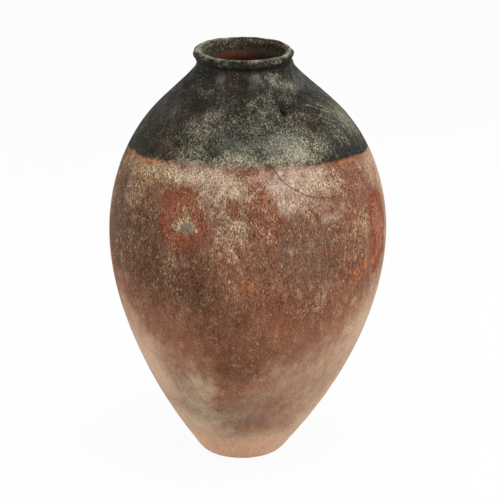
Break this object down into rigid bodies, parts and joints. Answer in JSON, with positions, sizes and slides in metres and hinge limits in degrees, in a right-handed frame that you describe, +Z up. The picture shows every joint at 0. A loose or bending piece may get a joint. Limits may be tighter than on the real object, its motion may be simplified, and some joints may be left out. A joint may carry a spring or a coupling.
{
  "type": "black-topped pottery vase",
  "caption": "Hand-built ovoid storage jar with a narrow foot, full shoulder, short neck and rolled rim, in burnished red clay with a blackened top.",
  "frame": {"origin": "middle of the foot's flat underside", "axes": "+Z up along the jar's axis; the pictured front faces -Y, with +X to its right"},
  "size_m": [0.264, 0.264, 0.3999],
  "materials": {
    "red_burnished_clay": "low-fired earthenware, red slip burnished with a pebble, worn and dusty, semi-matt",
    "blackened_clay": "the same burnished earthenware, blackened by carbon in the firing, worn and dusty, semi-matt"
  },
  "bodies": {
    "root": {"base_pad": "red_burnished_clay", "wall_course_01": "red_burnished_clay", "wall_course_02": "red_burnished_clay", "wall_course_03": "red_burnished_clay", "wall_course_04": "red_burnished_clay", "wall_course_05": "red_burnished_clay", "wall_course_06": "red_burnished_clay", "wall_course_07": "red_burnished_clay", "wall_course_08": "red_burnished_clay", "shoulder_course_01": "blackened_clay", "shoulder_course_02": "blackened_clay", "shoulder_course_03": "blackened_clay", "neck_collar": "blackened_clay", "rim_roll": "blackened_clay"}
  },
  "joints": []
}
